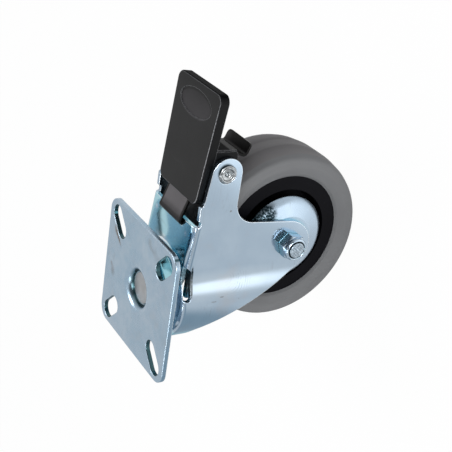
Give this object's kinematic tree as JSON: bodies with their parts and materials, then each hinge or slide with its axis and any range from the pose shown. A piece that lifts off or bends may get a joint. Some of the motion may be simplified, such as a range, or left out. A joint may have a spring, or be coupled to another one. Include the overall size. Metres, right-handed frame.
{
  "type": "swivel plate caster",
  "caption": "Swivel caster with a slotted square top plate, pressed steel fork, grey tyre on a black core and a black foot pedal that presses a steel strip onto the tyre.",
  "frame": {"origin": "where the swivel axis meets the plate's flat mounting face", "axes": "+Z out of the mounting face, +X towards the wheel's offset and the pedal, at rest"},
  "size_m": [0.1538, 0.079, 0.1275],
  "materials": {
    "zinc": "bright bluish zinc plate",
    "rivet": "dull steel",
    "bearing_steel": "polished steel",
    "cage": "pressed",
    "nylon": "matte",
    "pedal_plastic": "fine grain, satin",
    "strip_steel": "black oxide, satin",
    "core_plastic": "satin",
    "tyre": "matte grey"
  },
  "bodies": {
    "plate": {"top_plate": "zinc", "king_pin": "rivet", "lower_race": "zinc"},
    "fork": {"swivel_fork": "zinc", "upper_balls": "bearing_steel", "lower_balls": "bearing_steel", "pedal_pin": "zinc", "axle_bolt": "zinc", "axle_nut": "zinc", "nut_insert": "nylon", "centre_spacer": "bearing_steel", "axle_spacers": "bearing_steel", "thread_guard_near": "zinc", "thread_guard_far": "zinc", "bearing_near_inner": "bearing_steel", "bearing_far_inner": "bearing_steel"},
    "wheel": {"wheel_core": "core_plastic", "tyre": "tyre", "bearing_near_outer": "bearing_steel", "bearing_near_balls": "bearing_steel", "bearing_near_cage": "cage", "bearing_far_outer": "bearing_steel", "bearing_far_balls": "bearing_steel", "bearing_far_cage": "cage"},
    "pedal": {"brake_pedal": "pedal_plastic"},
    "strip": {"brake_strip": "strip_steel"}
  },
  "joints": [
    {"name": "swivel", "type": "hinge", "parent": "plate", "child": "fork", "pos_m": [0, 0, -0.0125], "axis": [0, 0, 1], "continuous": true},
    {"name": "wheel_spin", "type": "hinge", "parent": "fork", "child": "wheel", "pos_m": [0.03, 0, -0.0775], "axis": [0, 1, 0], "continuous": true},
    {"name": "pedal_press", "type": "hinge", "parent": "fork", "child": "pedal", "pos_m": [0.0748, 0, -0.0311], "axis": [0, 1, 0], "range_deg": [0, 25]},
    {"name": "strip_swing", "type": "hinge", "parent": "fork", "child": "strip", "pos_m": [0.044, 0, -0.016], "axis": [0, 1, 0], "range_deg": [0, 5.4]}
  ],
  "couplings": [
    {"joint": "strip_swing", "follows": "pedal_press", "ratio": 0.216}
  ]
}
